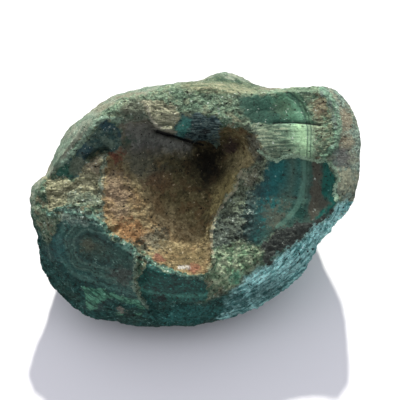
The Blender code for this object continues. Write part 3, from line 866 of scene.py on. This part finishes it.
# A darker patch on the front of the lining, where it faces the key lamp: painted shade.
ochre = daub(ochre, (0.138, 0.108, 0.049), 0.9, (4.0, -16.5), (7.0, 3.4), -15.0)
ochre = daub(ochre, (0.070, 0.090, 0.062), 0.85, (-8.6, -14.4), (3.6, 1.5), -22.0)
ochre = daub(ochre, (0.220, 0.095, 0.060), 0.8, (-3.4, -16.8), (1.2, 1.0))
ochre = daub(ochre, (0.230, 0.100, 0.060), 0.8, (5.5, -19.2), (1.6, 0.9))
ochre = daub(ochre, (0.500, 0.490, 0.430), 0.8, (3.0, -19.0), (1.2, 0.5))
# The olive comes in towards the upper right of the vug, where the rim's shadow falls: partly a
# darker oxide, partly painted shade.
shade = ramp(math_of("MULTIPLY_ADD", face_v, 0.7, part_of(face_u, 0.55)), -8.0, -1.0)
olive_painted_shade = blend(ramp(medium, 0.40, 0.62), (0.090, 0.076, 0.032), (0.170, 0.145, 0.066))
olive_painted_shade = blend(part_of(ramp(speckle(2.4), 0.50, 0.60), 0.7), olive_painted_shade, (0.125, 0.080, 0.034))
olive_painted_shade = daub(olive_painted_shade, (0.092, 0.100, 0.070), 0.8, (-7.5, 5.8), (5.5, 3.4), -25.0, 1.0, 0.7)
olive_painted_shade = daub(olive_painted_shade, (0.170, 0.095, 0.044), 0.6, (-3.0, 1.8), (3.4, 2.2))
# A near-black patch in the deepest shaded part of the vug: painted shade.
olive_painted_shade = daub(olive_painted_shade, (0.034, 0.036, 0.017), 0.55, (5.5, 6.0), (8.0, 5.5), 0.0, 1.0, 0.8)
olive_painted_shade = daub(olive_painted_shade, (0.340, 0.290, 0.120), 0.9, (13.2, -0.5), (2.6, 7.5), -16.0)
olive_painted_shade = daub(olive_painted_shade, (0.355, 0.310, 0.150), 0.9, (15.8, 7.0), (4.2, 2.6), 10.0)
ochre = blend(shade, ochre, olive_painted_shade)
# A black spot in the deepest hollow under the overhang: painted shade.
hollow_painted_shade = dab((9.4, 6.6), (4.6, 4.8), 15.0, 0.6, 0.7)
ochre = blend(part_of(hollow_painted_shade, 0.98), ochre, (0.006, 0.005, 0.002))
ochre = grainy(ochre, 0.9, 0.05, (0.50, 0.42, 0.27), 0.06)
colour = blend(cover("lining", 0.9), colour, ochre)
grey = blend(ramp(medium, 0.4, 0.6), (0.112, 0.124, 0.100), (0.198, 0.205, 0.174))
grey = daub(grey, (0.022, 0.065, 0.042), 0.8, (-10.8, 11.4), (1.8, 1.4))
grey = daub(grey, (0.055, 0.055, 0.048), 0.6, (-7.0, 9.6), (4.0, 1.6))
colour = blend(cover("grey_wall", 1.2, 2.0), colour, grainy(grey, 0.4, 0.0))
red_spot = math_of("MULTIPLY", dab((-13.6, 8.2), (1.7, 1.5)), attribute_of("on_face"))
colour = blend(red_spot, colour, grainy((0.140, 0.058, 0.032), 0.8, 0.03))

# Round the vug: the granular slope, the yellow-green patch, the navy wedge and wall, and rock.
slope = blend(ramp(medium, 0.42, 0.60), (0.112, 0.142, 0.094), (0.205, 0.252, 0.155))
slope = blend(part_of(ramp(face_v, -2.0, -9.0), 0.75), slope, (0.050, 0.066, 0.058))
slope = daub(slope, (0.022, 0.052, 0.048), 0.85, (19.6, -6.0), (2.2, 8.0))
slope = daub(slope, (0.260, 0.250, 0.160), 0.6, (18.5, 3.5), (2.0, 2.6))
colour = blend(cover("slope", 2.2, 0.9), colour, grainy(slope, 1.6, 0.15))
patch = blend(ramp(medium, 0.38, 0.64), (0.130, 0.225, 0.125), (0.350, 0.420, 0.265))
patch = daub(patch, (0.130, 0.400, 0.250), 0.7, (16.0, -21.5), (1.8, 1.4))
colour = blend(cover("patch", 1.8, 0.9), colour, grainy(patch, 1.2, 0.07))
navy = blend(ramp(medium, 0.4, 0.62), (0.030, 0.070, 0.062), (0.100, 0.150, 0.110))
navy = blend(part_of(ramp(coarse, 0.46, 0.56), 0.7), navy, (0.020, 0.058, 0.075))
navy = daub(navy, (0.030, 0.110, 0.072), 0.9, (-25.8, 4.6), (2.6, 1.8), 30.0)
navy = daub(navy, (0.130, 0.155, 0.105), 0.8, (-22.8, 6.0), (2.0, 1.6), 40.0)
colour = blend(cover("wedge", 0.8), colour, grainy(navy, 0.9, 0.05))
wall = blend(ramp(stripes, 0.42, 0.58), (0.024, 0.052, 0.056), (0.140, 0.215, 0.200))
wall = daub(wall, (0.080, 0.300, 0.250), 0.9, (2.6, 15.2), (1.5, 3.0), -20.0)
wall = daub(wall, (0.010, 0.012, 0.014), 0.9, (8.0, 14.0), (1.2, 0.7))
colour = blend(cover("wall", 1.4, 0.4), colour, grainy(wall, 1.2, 0.07))
rocky = math_of("MULTIPLY", dab((14.3, 10.7), (1.6, 1.4)), attribute_of("on_face"))
colour = blend(rocky, colour, grainy((0.070, 0.048, 0.034), 0.9, 0.03))
rocky = math_of("MULTIPLY", dab((20.4, 10.6), (1.5, 3.6), 20.0), attribute_of("on_face"))
colour = blend(part_of(rocky, 0.75), colour, grainy((0.095, 0.105, 0.080), 1.5, 0.12))

# Edges, cracks and seams.
# The front crest's green line with white grains: the white grains are painted highlights on its
# sharp edge.
crest_line_and_glints = line_of("crest_line", 0.50, 1.2, 0.7)
colour = blend(crest_line_and_glints, colour, grainy((0.075, 0.165, 0.125), 1.5, 0.15, (0.55, 0.66, 0.56)))
colour = blend(line_of("lip_line", 0.26, 1.3, 0.7), colour, (0.420, 0.390, 0.260))
doubled = math_of("ABSOLUTE", math_of("SUBTRACT", attribute_of("arc_line"), 0.42))
doubled = part_of(ramp(doubled, 0.26, 0.08), 0.6)
doubled = math_of("MULTIPLY", doubled, blend_value(ramp(face_v, -2.0, 9.0), 0.35, 1.0))
colour = blend(doubled, colour, (0.018, 0.055, 0.036))
colour = blend(line_of("crack_line", 0.18, 0.3, 0.8), colour, (0.012, 0.028, 0.020))
# The pale line along the ledge: partly a mint band, partly a painted highlight where the key lamp
# catches the edge.
ledge_edge_highlight = line_of("ledge_line", 0.38, 1.3, 0.85)
colour = blend(ledge_edge_highlight, colour, grainy((0.340, 0.500, 0.340), 1.0, 0.1))
rim_edge = line_of("rim_line", 0.60, 1.4, 0.75)
colour = blend(rim_edge, colour, grainy((0.140, 0.260, 0.170), 1.2, 0.1))
colour = blend(line_of("tongue_line", 0.28, 1.2, 0.65), colour, (0.420, 0.410, 0.310))
# A black line in the undercut under the tongue: painted shade.
colour = blend(line_of("undercut_shade", 0.35, 0.3, 0.95), colour, (0.008, 0.010, 0.010))
crust_edge = line_of("crust_line", 0.55, 1.8, 0.6)
colour = blend(crust_edge, colour, grainy((0.235, 0.265, 0.180), 1.5, 0.2))
# The pale green line along the wedge's crest: partly crust, partly a painted highlight.
wedge_crust_and_highlight = line_of("wedge_line", 0.6, 1.5, 0.75)
colour = blend(wedge_crust_and_highlight, colour, grainy((0.200, 0.300, 0.215), 1.0, 0.1))
rib_edge = line_of("rib_line", 0.36, 1.2, 0.75)
colour = blend(rib_edge, colour, grainy((0.150, 0.220, 0.155), 1.2, 0.1))
put(colour, surface.inputs["Base Color"])

# Gloss: the fresh breaks have a satin gloss, the rest is dull.
smoothness = math_of("MAXIMUM", cover("lower", 0.6, 1.5), cover("left_break", 0.6, 1.0))
smoothness = math_of("MAXIMUM", smoothness, cover("front_break", 0.6, 1.0))
smoothness = math_of("MAXIMUM", smoothness, cover("bright", 1.0, 2.5))
gloss = blend_value(smoothness, DULL, SATIN)
gloss = math_of("MULTIPLY_ADD", math_of("SUBTRACT", fine, 0.5), 0.3, gloss)
put(gloss, surface.inputs["Roughness"])
surface.inputs["Specular IOR Level"].default_value = 0.22

grain_height = math_of("MULTIPLY_ADD", medium, 1.2, math_of("ADD", fine, part_of(fine_grain, 0.6)))
bump = nodes.new("ShaderNodeBump")
bump.inputs["Distance"].default_value = BUMP_HEIGHT
put(blend_value(smoothness, ROUGH_BUMP, SMOOTH_BUMP), bump.inputs["Strength"])
put(grain_height, bump.inputs["Height"])
links.new(bump.outputs["Normal"], surface.inputs["Normal"])

stone.data.materials.clear()
stone.data.materials.append(malachite)
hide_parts("malachite_stone")
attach(stone, "root")

# ---------------------------------------------------------------------------------------------
# The bench. It is a plain matt white sheet under the stone, far wider than the view, so that only
# the stone's own shadow shows on it.
BENCH_SIZE = 3.0

bpy.ops.object.select_all(action="DESELECT")
bpy.ops.mesh.primitive_plane_add(size=BENCH_SIZE, location=(0.0, 0.0, cad_low[2]))
bench = bpy.context.object
bench.name = "bench"
paper = bpy.data.materials.new("white_paper")
paper.use_nodes = True
sheet = paper.node_tree.nodes["Principled BSDF"]
sheet.inputs["Base Color"].default_value = (0.86, 0.86, 0.86, 1.0)
sheet.inputs["Roughness"].default_value = 0.8
sheet.inputs["Specular IOR Level"].default_value = 0.2
bench.data.materials.append(paper)

# ---------------------------------------------------------------------------------------------
# Light and camera: one key lamp low behind the stone, a pale blue fill all round, and a long
# lens that looks down on the open face.
KEY_HEIGHT = math.radians(36.3)
KEY_TURN = math.radians(2.0)
BRIGHT_SIDE = (0.0, 0.55, 0.84)
FILL_WEAKEST, FILL_STRONGEST = 0.12, 1.35
CAMERA_HEIGHT = math.radians(70.0)
CAMERA_REACH = 0.6
AIM = Vector((1.3, -3.8, 30.0)) * MM

key = bpy.data.lights.new("key", "SUN")
key.energy = 5.0
key.angle = math.radians(2.0)
key.color = (1.0, 0.97, 0.92)
key_lamp = bpy.data.objects.new("key", key)
bpy.context.scene.collection.objects.link(key_lamp)
towards = Vector((
    math.sin(KEY_TURN) * math.cos(KEY_HEIGHT),
    math.cos(KEY_TURN) * math.cos(KEY_HEIGHT),
    math.sin(KEY_HEIGHT),
))
key_lamp.rotation_euler = towards.to_track_quat("Z", "Y").to_euler()

world = bpy.data.worlds.new("fill")
world.use_nodes = True
sky = world.node_tree
sky_nodes, sky_links = sky.nodes, sky.links
sky_way = sky_nodes.new("ShaderNodeTexCoord")
sky_dot = sky_nodes.new("ShaderNodeVectorMath")
sky_dot.operation = "DOT_PRODUCT"
sky_dot.inputs[1].default_value = BRIGHT_SIDE
sky_range = sky_nodes.new("ShaderNodeMapRange")
sky_range.inputs["From Min"].default_value = 0.0
sky_range.inputs["From Max"].default_value = 1.0
sky_range.inputs["To Min"].default_value = FILL_WEAKEST
sky_range.inputs["To Max"].default_value = FILL_STRONGEST
sky_links.new(sky_way.outputs["Generated"], sky_dot.inputs[0])
sky_links.new(sky_dot.outputs["Value"], sky_range.inputs["Value"])
sky_links.new(sky_range.outputs["Result"], sky_nodes["Background"].inputs["Strength"])
sky_nodes["Background"].inputs["Color"].default_value = (0.90, 0.90, 1.0, 1.0)
bpy.context.scene.world = world

camera = bpy.data.cameras.new("camera")
camera.sensor_width = 36.0
camera.lens = 222.0
camera_object = bpy.data.objects.new("camera", camera)
bpy.context.scene.collection.objects.link(camera_object)
back_and_up = Vector((0.0, -math.cos(CAMERA_HEIGHT), math.sin(CAMERA_HEIGHT)))
camera_object.location = AIM + CAMERA_REACH * back_and_up
camera_object.rotation_euler = (math.radians(90.0) - CAMERA_HEIGHT, 0.0, 0.0)
bpy.context.scene.camera = camera_object
bpy.context.scene.view_settings.view_transform = "Standard"
